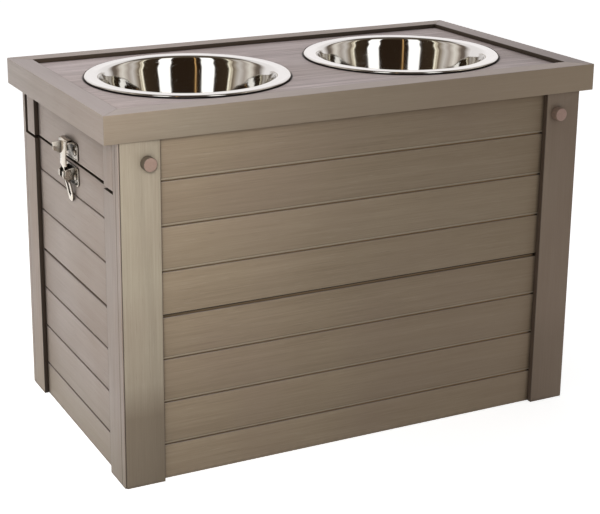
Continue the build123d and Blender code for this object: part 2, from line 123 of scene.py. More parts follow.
def new_group(name, inputs, outputs):
    """A shader node group with named sockets; returns its tree, input node and output node."""
    tree = bpy.data.node_groups.new(name, "ShaderNodeTree")
    for label, kind, default in inputs:
        socket = tree.interface.new_socket(name=label, in_out="INPUT", socket_type="NodeSocket" + kind)
        socket.default_value = default
    for label, kind in outputs:
        tree.interface.new_socket(name=label, in_out="OUTPUT", socket_type="NodeSocket" + kind)
    return tree, tree.nodes.new("NodeGroupInput"), tree.nodes.new("NodeGroupOutput")


def use_group(tree, group, **inputs):
    """A node that runs a group, with its inputs by name."""
    return add(tree, "ShaderNodeGroup", {"node_tree": group}, **inputs)


def give(tree, end, **results):
    """Wire results into the named inputs of a shader or of a group's output node."""
    for name, socket in results.items():
        tree.links.new(socket, end.inputs[name.replace("_", " ")])


def new_material(name, colour, metallic=0.0, roughness=0.5):
    """A material with its Principled shader; returns the material, its tree and the shader."""
    material = bpy.data.materials.new(name)
    material.use_nodes = True
    material.diffuse_color = (*colour, 1)
    tree = material.node_tree
    shader = next(n for n in tree.nodes if n.type == "BSDF_PRINCIPLED")
    shader.inputs["Base Color"].default_value = (*colour, 1)
    shader.inputs["Metallic"].default_value = metallic
    shader.inputs["Roughness"].default_value = roughness
    return material, tree, shader


print("helpers ready")

# %% [markdown]
# ## The composite's grain
# The boards are extruded from wood flour and plastic. The surface is brushed, so it shows fine
# broken streaks along each board, wider soft bands under them, and pale and dark flecks of wood.
# Stretching one noise far along the board and squeezing it across makes all three. The stretch is
# an input, so one group serves boards that run along X, Y or Z. Each plank between two lines gets
# its own slice of the noise, or the streaks would run on from plank to plank.

# %% Grain group
PLANK_PITCH = 0.0484
PANEL_JOINT = 0.184
PALE_FLECK, DARK_FLECK = (0.62, 0.54, 0.45), (0.10, 0.07, 0.05)
SLICE_STEP = {"X": 7.31, "Y": 3.17, "Z": 5.23}


def build_grain():
    """Colour, height and roughness of brushed composite."""
    tree, start, end = new_group(
        "Composite Grain",
        [("Vector", "Vector", (0, 0, 0)), ("Stretch", "Vector", (1, 1, 1)),
         ("Pale", "Color", (0.5, 0.45, 0.4, 1)), ("Dark", "Color", (0.3, 0.26, 0.22, 1)),
         ("Plank Share", "Float", 1.0), ("Streaks", "Float", 0.6)],
        [("Color", "Color"), ("Height", "Float"), ("Roughness", "Float")],
    )
    spot = start.outputs["Vector"]
    above = calc(tree, "SUBTRACT", axes(tree, spot)["Z"], PANEL_JOINT)
    index = calc(tree, "FLOOR", calc(tree, "DIVIDE", above, PLANK_PITCH))
    index = calc(tree, "MULTIPLY", index, start.outputs["Plank Share"])
    tone = add(tree, "ShaderNodeTexWhiteNoise", {"noise_dimensions": "1D"},
               W=calc(tree, "ADD", index, 3.7)).outputs[0]
    place = add(tree, "ShaderNodeVectorMath", {"operation": "MULTIPLY"},
                i0=spot, i1=start.outputs["Stretch"]).outputs[0]
    shift = vector(tree, **{axis: calc(tree, "MULTIPLY", index, step) for axis, step in SLICE_STEP.items()})
    place = add(tree, "ShaderNodeVectorMath", {"operation": "ADD"}, i0=place, i1=shift).outputs[0]

    streak = noise(tree, place, 1.0, 5.0, Roughness=0.62, Distortion=0.15)
    band = noise(tree, place, 0.13, 3.0, Roughness=0.5, Distortion=0.4)
    fleck = noise(tree, place, 2.6, 2.0, Roughness=0.5)
    cloud = noise(tree, spot, 9.0, 3.0, Roughness=0.55)

    streak_mask = remap(tree, streak, 0.30, 0.70)
    band_mask = remap(tree, band, 0.3, 0.7)
    mix = calc(tree, "MULTIPLY", streak_mask, start.outputs["Streaks"])
    mix = calc(tree, "ADD", mix, calc(tree, "MULTIPLY", band_mask, 0.3))
    mix = calc(tree, "ADD", mix, calc(tree, "MULTIPLY", calc(tree, "SUBTRACT", cloud, 0.5), 0.5))
    plank_tone = calc(tree, "MULTIPLY", calc(tree, "SUBTRACT", tone, 0.5), 0.28)
    mix = calc(tree, "ADD", mix, plank_tone, clamp=True)
    colour = blend_colour(tree, mix, start.outputs["Pale"], start.outputs["Dark"])
    colour = blend_colour(tree, remap(tree, fleck, 0.66, 0.74, 0.0, 0.30), colour, PALE_FLECK)
    colour = blend_colour(tree, remap(tree, fleck, 0.34, 0.27, 0.0, 0.35), colour, DARK_FLECK)

    height = calc(tree, "ADD", calc(tree, "MULTIPLY", streak, 0.8), calc(tree, "MULTIPLY", fleck, 0.35))
    give(tree, end, Color=colour, Height=height, Roughness=remap(tree, streak, 0.3, 0.7, 0.50, 0.68))
    return tree


GRAIN = build_grain()
print("grain group:", len(GRAIN.nodes), "nodes")

# %% [markdown]
# ## Painted edge highlights and crease shade
# The edges of a board are painted paler, as a highlight where they catch the light, while the lines
# between planks are painted darker, as the shade that falls in them. A Bevel node bends the normal near
# an edge, so the angle between it and the true normal marks the edge. Ambient occlusion marks the lines.

# %% Edge highlight and crease shade groups
def build_edge_highlight():
    """1 on edges, broken up by a fine noise."""
    tree, start, end = new_group(
        "Edge Highlight",
        [("Radius", "Float", 0.0015), ("Amount", "Float", 1.0), ("Break Up", "Float", 0.5)],
        [("Mask", "Float")])
    soft = add(tree, "ShaderNodeBevel", {"samples": 4}, Radius=start.outputs["Radius"])
    true = add(tree, "ShaderNodeNewGeometry")
    dot = add(tree, "ShaderNodeVectorMath", {"operation": "DOT_PRODUCT"}, i0=soft.outputs[0],
              i1=true.outputs["Normal"])
    mask = remap(tree, calc(tree, "SUBTRACT", 1.0, dot.outputs["Value"]), 0.02, 0.30)
    fine = noise(tree, add(tree, "ShaderNodeTexCoord").outputs["Object"], 160.0, 3.0)
    broken = calc(tree, "SUBTRACT", 1.0, calc(tree, "MULTIPLY", fine, start.outputs["Break Up"]))
    mask = calc(tree, "MULTIPLY", calc(tree, "MULTIPLY", mask, broken), start.outputs["Amount"], clamp=True)
    give(tree, end, Mask=mask)
    return tree


def build_crease_shade():
    """1 in corners that see little sky within Reach, where painted shade goes."""
    tree, start, end = new_group(
        "Crease Shade",
        [("Reach", "Float", 0.006), ("Amount", "Float", 0.5),
         ("Open", "Float", 0.85), ("Shut", "Float", 0.25)],
        [("Mask", "Float")])
    sky = add(tree, "ShaderNodeAmbientOcclusion", {"samples": 6}, Distance=start.outputs["Reach"])
    shut = remap(tree, sky.outputs["AO"], start.outputs["Open"], start.outputs["Shut"])
    give(tree, end, Mask=calc(tree, "MULTIPLY", shut, start.outputs["Amount"], clamp=True))
    return tree


EDGE_HIGHLIGHT, CREASE_SHADE_AO = build_edge_highlight(), build_crease_shade()
print("edge and dust groups ready")

# %% [markdown]
# ## Plank lines and shaded edges
# Each line between planks has a bevelled lip over a narrow slot. The lip gets a painted highlight, a
# fine line of painted shade runs along its upper edge, and the slot behind it is painted brown as
# shade, nearly black as painted shadow at the open joint between the two panels. The face where an
# upright stops beside a panel is painted dark as shade, and a soft painted shade lies on the planks
# next to it. All these places are known from the joinery, so two small groups work their masks out
# from height and depth.

# %% Plank line and band groups
LINE_SLOT, LINE_BEVEL, LINE_RIM = 0.0014, 0.0024, 0.0011
SLOT_DEPTHS, JOINT_DEPTHS = (0.0013, 0.0017), (0.0009, 0.0014)
JOINT_EDGES, JOINT_LEDGE = (0.0045, 0.0040), 0.0006


def build_plank_lines():
    """Lip and Rim masks by height; Slot mask by depth behind the face of the planks, and Joint where
    that slot is the open one between the two panels."""
    tree, start, end = new_group(
        "Plank Lines", [("Height", "Float", 0.0), ("Depth", "Float", 0.0)],
        [("Lip", "Float"), ("Rim", "Float"), ("Slot", "Float"), ("Joint", "Float")])
    above = calc(tree, "SUBTRACT", start.outputs["Height"], PANEL_JOINT)
    share = calc(tree, "ADD", calc(tree, "DIVIDE", above, PLANK_PITCH), 0.5)
    offset = calc(tree, "MULTIPLY", calc(tree, "SUBTRACT", calc(tree, "FRACT", share), 0.5), PLANK_PITCH)
    plain = calc(tree, "GREATER_THAN", calc(tree, "ABSOLUTE", above), PLANK_PITCH / 2)
    lip_foot, lip_top = LINE_SLOT / 2, LINE_SLOT / 2 + LINE_BEVEL
    lip, rim = [
        calc(tree, "MULTIPLY", calc(tree, "GREATER_THAN", offset, foot_shade), calc(tree, "LESS_THAN", offset, top))
        for foot_shade, top in ((lip_foot, lip_top), (lip_top, lip_top + LINE_RIM))]
    slot = remap(tree, start.outputs["Depth"], *SLOT_DEPTHS)
    open_slot = remap(tree, start.outputs["Depth"], *JOINT_DEPTHS)
    give(tree, end, Lip=calc(tree, "MULTIPLY", lip, plain), Rim=calc(tree, "MULTIPLY", rim, plain), Slot=slot)
    near = remap(tree, calc(tree, "ABSOLUTE", above), *JOINT_EDGES)
    upper = remap(tree, above, -JOINT_LEDGE, 0.0, 0.25, 1.0)
    give(tree, end, Joint=calc(tree, "MULTIPLY", open_slot, calc(tree, "MULTIPLY", near, upper)))
    return tree


def build_band():
    """1 where a distance from the middle of the chest is within Reach of Place, fading over Fade."""
    tree, start, end = new_group(
        "Band",
        [("Distance", "Float", 0.0), ("Place", "Float", 0.2),
         ("Reach", "Float", 0.0006), ("Fade", "Float", 0.0003)],
        [("Mask", "Float")])
    off = calc(tree, "SUBTRACT", calc(tree, "ABSOLUTE", start.outputs["Distance"]), start.outputs["Place"])
    inside = calc(tree, "SUBTRACT", start.outputs["Reach"], calc(tree, "ABSOLUTE", off))
    give(tree, end, Mask=calc(tree, "DIVIDE", inside, start.outputs["Fade"], clamp=True))
    return tree


PLANK_LINES, BAND = build_plank_lines(), build_band()
print("plank line and band groups ready")

# %% [markdown]
# ## Board finishes
# One function makes every board's finish. The direction of the grain differs, and so does the tone,
# which is painted for how light falls on each side of the chest. Faces that look up get a painted
# skylight tint, a cooler, pinker grey. Slow clouds of a browner tint cross the boards, left by the brushing.

# %% Board finish
ALONG = {"X": (14, 760, 760), "Y": (760, 14, 760), "Z": (760, 760, 14)}
# Painted light: the cooler, pinker grey that faces looking up are tinted towards, as the sky lights them.
SKYLIT_TOP_GREY = (0.470, 0.405, 0.395)
# Painted highlight: the pale tone painted on board and peg edges and on the plank lips.
PAINTED_HIGHLIGHT = (0.52, 0.44, 0.33)
BROWN_TINT = (0.300, 0.222, 0.165)
# Painted shade: the dark tone painted in creases, slots, the open joint, on shaded faces and beneath the
# bowls' rolled edges.
DEEP_SHADE_TONE = (0.028, 0.018, 0.011)
# Painted contact shadow round the bowls' rims on the deck.
BOWL_CONTACT_SHADE = (0.010, 0.006, 0.004)
SHADE = (0.060, 0.042, 0.028)
SHADE_STRENGTH = 0.45
SLOT_RUN = (-0.24, 0.20)
RIM_SHADE_SPAN = (0.0022, 0.0006)


def board_material(name, grain_axis, pale, dark, planks=None, lip_highlight=0.0, streaks=0.5, shaded_faces=(), shade=None,
                   tint=0.35, slot=DEEP_SHADE_TONE, slot_right=None, joint=1.0, sky=0.65, shaded_faces_tone=DEEP_SHADE_TONE,
                   bowls=None, light_falloff=None, foot_shade=None):
    """planks is (axis, place of the plank faces), lips how pale the painted highlight on each lip is, slot
    the tone of the painted shade in their slots, slot_right the same towards the right end, and joint
    how dark the painted shadow in the open joint is; raw lists (axis, place, reach) of faces that take
    painted shade in shaded_faces_tone; shade is (axis, place, fade) of the soft painted shade beside an
    upright;
    bowls is (distance of a bowl's axis from the middle, radius of its rim), where a painted contact
    shadow rings the rim; drift is (colour, amount, from X, to X) of painted light falloff, lighter or
    darker towards the right; foot is (colour, amount, upper Z, lower Z) of painted shade near the ground."""
    material, tree, shader = new_material(name, pale)
    place = add(tree, "ShaderNodeTexCoord")
    spot = axes(tree, place.outputs["Object"])
    grain = use_group(tree, GRAIN, Vector=place.outputs["Object"], Stretch=ALONG[grain_axis], Pale=pale,
                      Dark=dark, Plank_Share=1.0 if planks else 0.0, Streaks=streaks)
    facing = axes(tree, place.outputs["Normal"])
    # Painted light: faces that look up are tinted towards the skylit grey, as much as sky sets.
    upward = remap(tree, facing["Z"], 0.5, 0.9, 0.0, sky)
    cloud = remap(tree, noise(tree, place.outputs["Object"], 6.0, 2.0), 0.42, 0.62, 0.0, tint)
    # Painted highlight on the eased edges.
    edge_light = use_group(tree, EDGE_HIGHLIGHT, Radius=0.0013, Amount=0.4, Break_Up=0.4).outputs["Mask"]
    # Painted shade in the creases, found by ambient occlusion.
    crease_shade = use_group(tree, CREASE_SHADE_AO, Reach=0.006, Amount=0.45).outputs["Mask"]
    colour = blend_colour(tree, cloud, grain.outputs["Color"], BROWN_TINT)
    # Painted light: lighter or darker towards the right, as the light across the chest falls off.
    if light_falloff:
        across_light = remap(tree, spot["X"], light_falloff[2], light_falloff[3], 0.0, light_falloff[1])
        colour = blend_colour(tree, across_light, colour, light_falloff[0])
    # Painted shade: darker near the ground.
    if foot_shade:
        low = remap(tree, spot["Z"], foot_shade[2], foot_shade[3], 0.0, foot_shade[1])
        if light_falloff:
            low = calc(tree, "MULTIPLY", low, calc(tree, "SUBTRACT", 1.0, across_light))
        colour = blend_colour(tree, low, colour, foot_shade[0])
    colour = blend_colour(tree, upward, colour, SKYLIT_TOP_GREY)
    colour = blend_colour(tree, edge_light, colour, PAINTED_HIGHLIGHT)
    colour = blend_colour(tree, crease_shade, colour, DEEP_SHADE_TONE)
    if shade:
        axis, edge, fade = shade
        near = use_group(tree, BAND, Distance=spot[axis], Place=edge, Reach=fade, Fade=fade).outputs["Mask"]
        colour = blend_colour(tree, calc(tree, "MULTIPLY", near, SHADE_STRENGTH), colour, SHADE)
    if planks:
        depth = calc(tree, "SUBTRACT", planks[1], calc(tree, "ABSOLUTE", spot[planks[0]]))
        lines = use_group(tree, PLANK_LINES, Height=spot["Z"], Depth=depth).outputs
        # Painted highlight on each lip, and a line of painted shade along the rim above it.
        colour = blend_colour(tree, calc(tree, "MULTIPLY", lines["Lip"], lip_highlight), colour, PAINTED_HIGHLIGHT)
        colour = blend_colour(tree, calc(tree, "MULTIPLY", lines["Rim"], 0.4 * lip_highlight), colour, SHADE)
        # Painted shade in the slots, lighter towards the right end.
        if slot_right:
            slot = blend_colour(tree, remap(tree, spot["X"], *SLOT_RUN), slot, slot_right)
        colour = blend_colour(tree, lines["Slot"], colour, slot)
        # Painted shade where a slot ends beside an upright, and painted shadow in the open joint.
        if shade:
            colour = blend_colour(tree, calc(tree, "MULTIPLY", lines["Slot"], near), colour, DEEP_SHADE_TONE)
        colour = blend_colour(tree, calc(tree, "MULTIPLY", lines["Joint"], joint), colour, DEEP_SHADE_TONE)
    level = calc(tree, "GREATER_THAN", calc(tree, "ABSOLUTE", facing["Z"]), 0.6)
    # Painted shade on the faces listed in raw: returns beside the panels, the corner notch, the parting and
    # the deck's inner edge.
    for axis, edge, reach in shaded_faces:
        cut = use_group(tree, BAND, Distance=spot[axis], Place=edge, Reach=reach).outputs["Mask"]
        if axis == "Z":
            cut = calc(tree, "MULTIPLY", cut, level)
        colour = blend_colour(tree, cut, colour, shaded_faces_tone)
    # Painted contact shadow in a ring round each bowl's rim.
    if bowls:
        aside = calc(tree, "SUBTRACT", calc(tree, "ABSOLUTE", spot["X"]), bowls[0])
        ring = remap(tree, distance(tree, aside, spot["Y"]), *[bowls[1] + beyond for beyond in RIM_SHADE_SPAN])
        colour = blend_colour(tree, ring, colour, BOWL_CONTACT_SHADE)
    bump = add(tree, "ShaderNodeBump", Strength=0.22, Distance=0.0005, Height=grain.outputs["Height"])
    give(tree, shader, Base_Color=colour, Roughness=grain.outputs["Roughness"], Normal=bump.outputs[0])
    shader.inputs["Specular IOR Level"].default_value = 0.45
    return material


print("board finish ready")

# %% [markdown]
# Each family of boards then gets its own tones, painted for how light falls on it, and its marks of
# painted shade. The places are the edges of the joinery: where an upright stops beside the planks or
# the lid's skirt, the notch that runs down each corner, the parting between the skirt and the side
# wall, and the inner edge of the border round the deck.

# %% Board materials
LONG_FACE_Y, SIDE_FACE_X = 0.1515, 0.2745
POST_EDGE_X, STILE_EDGE_Y, STRIP_EDGE_Y = 0.235, 0.114, 0.148
NOTCH_MIDDLE_X, NOTCH_WALL_X = 0.2792, 0.2782
PARTING_Z, DECK_EDGE_Y, DECK_EDGE_X = 0.320, 0.1364, 0.2714
BOWL_X, BOWL_RIM_RADIUS = 0.137, 0.115
# Front and end tones of one composite, painted for how light falls on each side of the chest.
FRONT_LIGHT_OLIVE, FRONT_LIGHT_OLIVE_DARK = (0.366, 0.285, 0.195), (0.246, 0.182, 0.117)
SIDE_LIGHT_ROSE, SIDE_LIGHT_ROSE_DARK = (0.450, 0.380, 0.336), (0.336, 0.272, 0.236)
HIDDEN, HIDDEN_DARK = (0.30, 0.26, 0.22), (0.21, 0.18, 0.15)
# Painted shade near the ground on the ends.
SIDE_FOOT_SHADE = ((0.300, 0.248, 0.180), 0.6, 0.095, 0.01)
PARTING = ("Z", PARTING_Z, 0.0021)

FINISH = {
    "upright_boards": board_material(
        "front_upright_finish", "Z", (0.455, 0.397, 0.302), (0.315, 0.264, 0.192),
        light_falloff=((0.295, 0.200, 0.144), 0.65, -0.2, 0.2), foot_shade=((0.190, 0.142, 0.096), 0.8, 0.115, 0.078),
        shaded_faces=[("X", POST_EDGE_X, 0.0006), ("X", NOTCH_MIDDLE_X, 0.0009)], shaded_faces_tone=(0.140, 0.100, 0.072)),
    "side_uprights": board_material(
        "side_upright_finish", "Z", SIDE_LIGHT_ROSE, SIDE_LIGHT_ROSE_DARK, foot_shade=SIDE_FOOT_SHADE,
        shaded_faces=[("Y", STILE_EDGE_Y, 0.0006), ("Y", STRIP_EDGE_Y, 0.0006), ("X", NOTCH_WALL_X, 0.0007), PARTING]),
    "long_wall_planks": board_material(
        "long_wall_finish", "X", FRONT_LIGHT_OLIVE, FRONT_LIGHT_OLIVE_DARK, planks=("Y", LONG_FACE_Y), lip_highlight=0.55,
        slot=(0.150, 0.106, 0.060), slot_right=(0.450, 0.300, 0.165),
        light_falloff=((0.470, 0.345, 0.225), 0.3, 0.0, 0.25), shade=("X", POST_EDGE_X, 0.004)),
    "side_wall_planks": board_material(
        "side_wall_finish", "Y", SIDE_LIGHT_ROSE, SIDE_LIGHT_ROSE_DARK, planks=("X", SIDE_FACE_X), streaks=0.15,
        shade=("Y", STILE_EDGE_Y, 0.0035), shaded_faces=[PARTING], slot=(0.200, 0.150, 0.115), joint=0.45,
        foot_shade=SIDE_FOOT_SHADE),
    "lid_long_rails": board_material(
        "lid_long_rail_finish", "X", (0.375, 0.307, 0.227), (0.272, 0.219, 0.158), sky=0.66,
        light_falloff=((0.480, 0.360, 0.250), 0.8, -0.2, 0.25), shaded_faces=[("Y", DECK_EDGE_Y, 0.0009)], shaded_faces_tone=SHADE),
    "lid_side_rails": board_material(
        "lid_side_rail_finish", "Y", (0.470, 0.407, 0.368), (0.370, 0.314, 0.280), sky=0.75, streaks=0.3,
        shaded_faces=[("X", DECK_EDGE_X, 0.0009)], shaded_faces_tone=SHADE),
    # The deck's own tones carry the painted skylight tint.
    "lid_deck_board": board_material(
        "deck_finish", "X", (0.730, 0.622, 0.612), (0.385, 0.318, 0.311), streaks=1.0, sky=0.0, tint=0.2,
        bowls=(BOWL_X, BOWL_RIM_RADIUS)),
    "inner_cleats": board_material("cleat_finish", "Z", HIDDEN, HIDDEN_DARK),
    "floor_boards": board_material("floor_board_finish", "X", HIDDEN, HIDDEN_DARK),
}
print(len(FINISH), "board finishes")

# %% [markdown]
# The pegs are dowels of the same composite. Their sawn ends show the paler, pinker core, while their
# sides get darker painted shade, told apart by which way a face looks. The dowels towards the right
# are made lighter.

# %% Peg material
PEG_LEFT, PEG_LEFT_DARK = (0.380, 0.262, 0.205), (0.275, 0.180, 0.145)
PEG_RIGHT, PEG_RIGHT_DARK = (0.640, 0.425, 0.350), (0.480, 0.310, 0.255)
# Painted shade: the darker tones of the pegs' sides.
PEG_SIDE_SHADE, PEG_SIDE_SHADE_DARK, PEG_RIGHT_SIDE_SHADE = (0.16, 0.125, 0.09), (0.09, 0.07, 0.05), (0.340, 0.235, 0.180)
SAWN_END = (900, 900, 900)
PEG_CUTS = ((SAWN_END, PEG_LEFT, PEG_LEFT_DARK), (SAWN_END, PEG_RIGHT, PEG_RIGHT_DARK),
            (ALONG["Y"], PEG_SIDE_SHADE, PEG_SIDE_SHADE_DARK))


def peg_material():
    """Core colour on the ends and painted shade on the sides, lighter towards the right."""
    material, tree, shader = new_material("peg_finish", (0.42, 0.30, 0.26))
    place = add(tree, "ShaderNodeTexCoord")
    facing = axes(tree, place.outputs["Normal"])
    end_face = remap(tree, calc(tree, "ABSOLUTE", facing["Y"]), 0.6, 0.85)
    across = remap(tree, axes(tree, place.outputs["Object"])["X"], -0.25, 0.25)
    cuts = [
        use_group(tree, GRAIN, Vector=place.outputs["Object"], Stretch=stretch, Pale=pale, Dark=dark,
                  Plank_Share=0.0, Streaks=0.5)
        for stretch, pale, dark in PEG_CUTS]
    left_end, right_end, side_shade = [cut.outputs["Color"] for cut in cuts]
    core = blend_colour(tree, across, left_end, right_end)
    side_shade = blend_colour(tree, across, side_shade, PEG_RIGHT_SIDE_SHADE)
    # Painted highlight on the peg's edges.
    edge_light = use_group(tree, EDGE_HIGHLIGHT, Radius=0.0008, Amount=0.3, Break_Up=0.5).outputs["Mask"]
    colour = blend_colour(tree, edge_light, blend_colour(tree, end_face, side_shade, core), PAINTED_HIGHLIGHT)
    grain = cuts[0].outputs
    bump = add(tree, "ShaderNodeBump", Strength=0.3, Distance=0.0005, Height=grain["Height"])
    give(tree, shader, Base_Color=colour, Roughness=grain["Roughness"], Normal=bump.outputs[0])
    return material


FINISH["peg_composite"] = peg_material()
print("peg finish ready")

# %% [markdown]
# ## Metal finishes
# The bowls are spun, so their polish carries very faint rings round the bowl's own axis and a few
# handling scratches, and shade is painted beneath the rolled edge. The latch is pressed from sheet and
# plated, which leaves soft waves and a pale, slightly warm shine; its edges get a painted highlight
# and its corners painted shade. Both are metals: the colour sits in the reflection, and the roughness varies.

# %% Metal group and materials
BOWL_STEEL, LATCH_NICKEL, SCREW_NICKEL = (0.66, 0.65, 0.63), (0.76, 0.69, 0.59), (0.62, 0.57, 0.50)
# Painted highlight: the pale tone painted on the latch's edges.
PLATED_EDGE_HIGHLIGHT = (0.92, 0.88, 0.80)
DECK_TOP, ROLLED_EDGE_RADIUS = 0.4005, 0.112
BEAD_SHADE_SPAN = (0.0018, 0.0012)
SMUDGED = 0.86


def build_metal_marks():
    """Slanting scratches, soft waves and smudges."""
    tree, start, end = new_group(
        "Metal Marks",
        [("Vector", "Vector", (0, 0, 0)), ("Scratch Scale", "Float", 90.0), ("Wave Scale", "Float", 25.0)],
        [("Scratch", "Float"), ("Wave", "Float"), ("Smudge", "Float")])
    place = start.outputs["Vector"]
    slant = add(tree, "ShaderNodeMapping", {"vector_type": "POINT"}, Vector=place, Rotation=(0.3, 0.5, 0.9),
                Scale=(1, 14, 1)).outputs[0]
    scratch = remap(tree, noise(tree, slant, start.outputs["Scratch Scale"], 3.0), 0.64, 0.70)
    wave = noise(tree, place, start.outputs["Wave Scale"], 1.0)
    give(tree, end, Scratch=scratch, Wave=wave, Smudge=noise(tree, place, 17.0, 4.0, Roughness=0.6))
    return tree


METAL_MARKS = build_metal_marks()


def metal_material(name, colour, rough_low, rough_high, wave_depth, scratch_scale=90.0, ring_axis=None,
                   shade_amount=0.0):
    """A polished metal; ring_axis is the X of a bowl's axis, when spinning rings go round it and painted
    shade lies beneath its rolled edge; grime sets the painted shade in the corners where parts overlap,
    and with it the edges get a painted highlight."""
    material, tree, shader = new_material(name, colour, metallic=1.0, roughness=rough_low)
    place = add(tree, "ShaderNodeTexCoord").outputs["Object"]
    marks = use_group(tree, METAL_MARKS, Vector=place, Scratch_Scale=scratch_scale).outputs
    rough = remap(tree, marks["Smudge"], 0.3, 0.7, rough_low, rough_high)
    rough = calc(tree, "ADD", rough, calc(tree, "MULTIPLY", marks["Scratch"], 0.10))
    height = marks["Wave"]
    if ring_axis is not None:
        centred = add(tree, "ShaderNodeMapping", Vector=place, Location=(-ring_axis, 0, 0)).outputs[0]
        ring = add(tree, "ShaderNodeTexWave",
                   {"wave_type": "RINGS", "rings_direction": "Z", "wave_profile": "SIN"},
                   Vector=centred, Scale=110.0, Distortion=0.6, Detail=2.0, Detail_Scale=1.5).outputs[1]
        height = calc(tree, "ADD", height, calc(tree, "MULTIPLY", ring, 0.05))
    tint = blend_colour(tree, marks["Smudge"], colour, [c * SMUDGED for c in colour])
    if ring_axis is not None:
        spot = axes(tree, centred)
        radius = distance(tree, spot["X"], spot["Y"])
        # Painted shade beneath the bowl's rolled edge.
        under = remap(tree, spot["Z"], *[DECK_TOP + above for above in BEAD_SHADE_SPAN])
        under = calc(tree, "MULTIPLY", under, calc(tree, "GREATER_THAN", radius, ROLLED_EDGE_RADIUS))
        tint = blend_colour(tree, under, tint, DEEP_SHADE_TONE)
        rough = calc(tree, "ADD", rough, calc(tree, "MULTIPLY", under, 0.4))
    if shade_amount:
        # Painted highlight on the latch's edges.
        edge_light = use_group(tree, EDGE_HIGHLIGHT, Radius=0.0009, Amount=1.0, Break_Up=0.1).outputs["Mask"]
        tint = blend_colour(tree, edge_light, tint, PLATED_EDGE_HIGHLIGHT)
        # Painted shade in the corners where the latch parts overlap.
        crease_shade = use_group(tree, CREASE_SHADE_AO, Reach=0.010, Amount=shade_amount, Open=0.94, Shut=0.55).outputs["Mask"]
        tint = blend_colour(tree, crease_shade, tint, DEEP_SHADE_TONE)
        rough = calc(tree, "ADD", rough, calc(tree, "MULTIPLY", crease_shade, 0.3))
    bump = add(tree, "ShaderNodeBump", Strength=0.25, Distance=wave_depth, Height=height)
    give(tree, shader, Base_Color=tint, Roughness=rough, Normal=bump.outputs[0])
    return material


LEFT_BOWL, RIGHT_BOWL = [
    metal_material(side + "_bowl_steel", BOWL_STEEL, 0.035, 0.10, 0.0012, ring_axis=x)
    for side, x in (("left", -BOWL_X), ("right", BOWL_X))]
FINISH["latch_metal"] = metal_material("latch_nickel", LATCH_NICKEL, 0.06, 0.16, 0.0009, 260.0, shade_amount=1.0)
FINISH["screw_metal"] = metal_material("screw_nickel", SCREW_NICKEL, 0.16, 0.32, 0.0004, 320.0, shade_amount=0.6)
FINISH["bowl_steel"] = LEFT_BOWL
print("metals ready")

# %% [markdown]
# ## Boards with eased arrises
# Real boards have no razor edges: a light easing catches a thin line of light along every arris and
# at the mouth of each line. The solids are exact but sharp, so each board is copied, its triangles
# are joined back into whole faces, and a Bevel modifier eases the edges. The copy replaces the solid.

# %% Ease the boards
SAME_POINT, SEAM = 1e-6, 0.00001


def linked(name, data):
    """A new object in the scene."""
    thing = bpy.data.objects.new(name, data)
    bpy.context.scene.collection.objects.link(thing)
    return thing


def cleaned_mesh(node, flat_angle):
    """A copy of a solid's mesh with its doubles merged and its flat faces made whole."""
    bm = bmesh.new()
    bm.from_mesh(frame["nodes"][node].data)
    bmesh.ops.remove_doubles(bm, verts=bm.verts, dist=SAME_POINT)
    bmesh.ops.dissolve_limit(bm, angle_limit=flat_angle, verts=bm.verts, edges=bm.edges,
                             use_dissolve_boundaries=False)
    mesh = bpy.data.meshes.new(node + "_eased")
    bm.to_mesh(mesh)
    bm.free()
    return mesh


def eased_copy(node, width, flat_angle=0.01, crease=35):
    """A finished copy of a solid with eased edges, on the solid's body and in its finish."""
    mesh = cleaned_mesh(node, flat_angle)
    mesh.materials.clear()
    mesh.materials.append(FINISH[SLOT_OF[node]])
    mesh.shade_smooth()
    piece = linked(node + "_eased", mesh)
    bevel = piece.modifiers.new("ease", "BEVEL")
    bevel.width, bevel.segments = width, 2
    bevel.limit_method, bevel.angle_limit = "ANGLE", math.radians(crease)
    bevel.harden_normals = True
    bevel.use_clamp_overlap = True
    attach(piece, BODY_OF[node])
    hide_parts(node)
    return piece


EASING = {
    "upright_boards": 0.0009, "side_uprights": 0.0009, "long_wall_planks": 0.00035,
    "side_wall_planks": 0.00035, "lid_long_rails": 0.0006, "lid_side_rails": 0.0006,
    "lid_deck_board": 0.0006, "inner_cleats": 0.0012, "floor_boards": 0.0012,
}
eased = [eased_copy(node, EASING[SLOT_OF[node]]) for node in sorted(BODY_OF) if SLOT_OF[node] in EASING]
print(len(eased), "boards eased")

# %% [markdown]
# ## Pegs and pressed latch parts
# The pegs are sawn dowels with a rolled end. The latch is blanked from sheet: the tumbling drum
# takes its edges off, so a quarter millimetre is eased.

# %% Ease the small parts
SMALL = {"_peg": 0.0006, "_latch_base": 0.00025, "_latch_keeper": 0.00025, "_latch_lever": 0.00025,
         "_latch_arm": 0.00025}
small = [eased_copy(node, width, flat_angle=0.002, crease=40)
         for node in sorted(BODY_OF) for ending, width in SMALL.items() if node.endswith(ending)]
for node, thing in frame["nodes"].items():
    if SLOT_OF[node] in FINISH:
        thing.data.materials.clear()
        thing.data.materials.append(FINISH[SLOT_OF[node]])
print(len(small), "pegs and latch parts eased")

# %% [markdown]
# ## The bowls
# A bowl is spun on a lathe: one outline turned about an axis. So its shape is a rule, and Geometry
# Nodes can follow it. The outline goes in as a line of points (radius, 0, height). The tree makes a
# grid, reads the outline at each row and turns each column to its angle, then closes the seam.

# %% Outline of a bowl
RIM_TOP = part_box("left_bowl")[1][2]
BOWL_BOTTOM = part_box("left_bowl")[0][2]
SHEET = 0.001


def arc(centre, radius, start, stop, steps):
    """Points on a circle, from one angle to another in degrees."""
    angles = [math.radians(start + (stop - start) * i / steps) for i in range(steps + 1)]
    return [(centre[0] + radius * math.cos(a), centre[1] + radius * math.sin(a)) for a in angles]


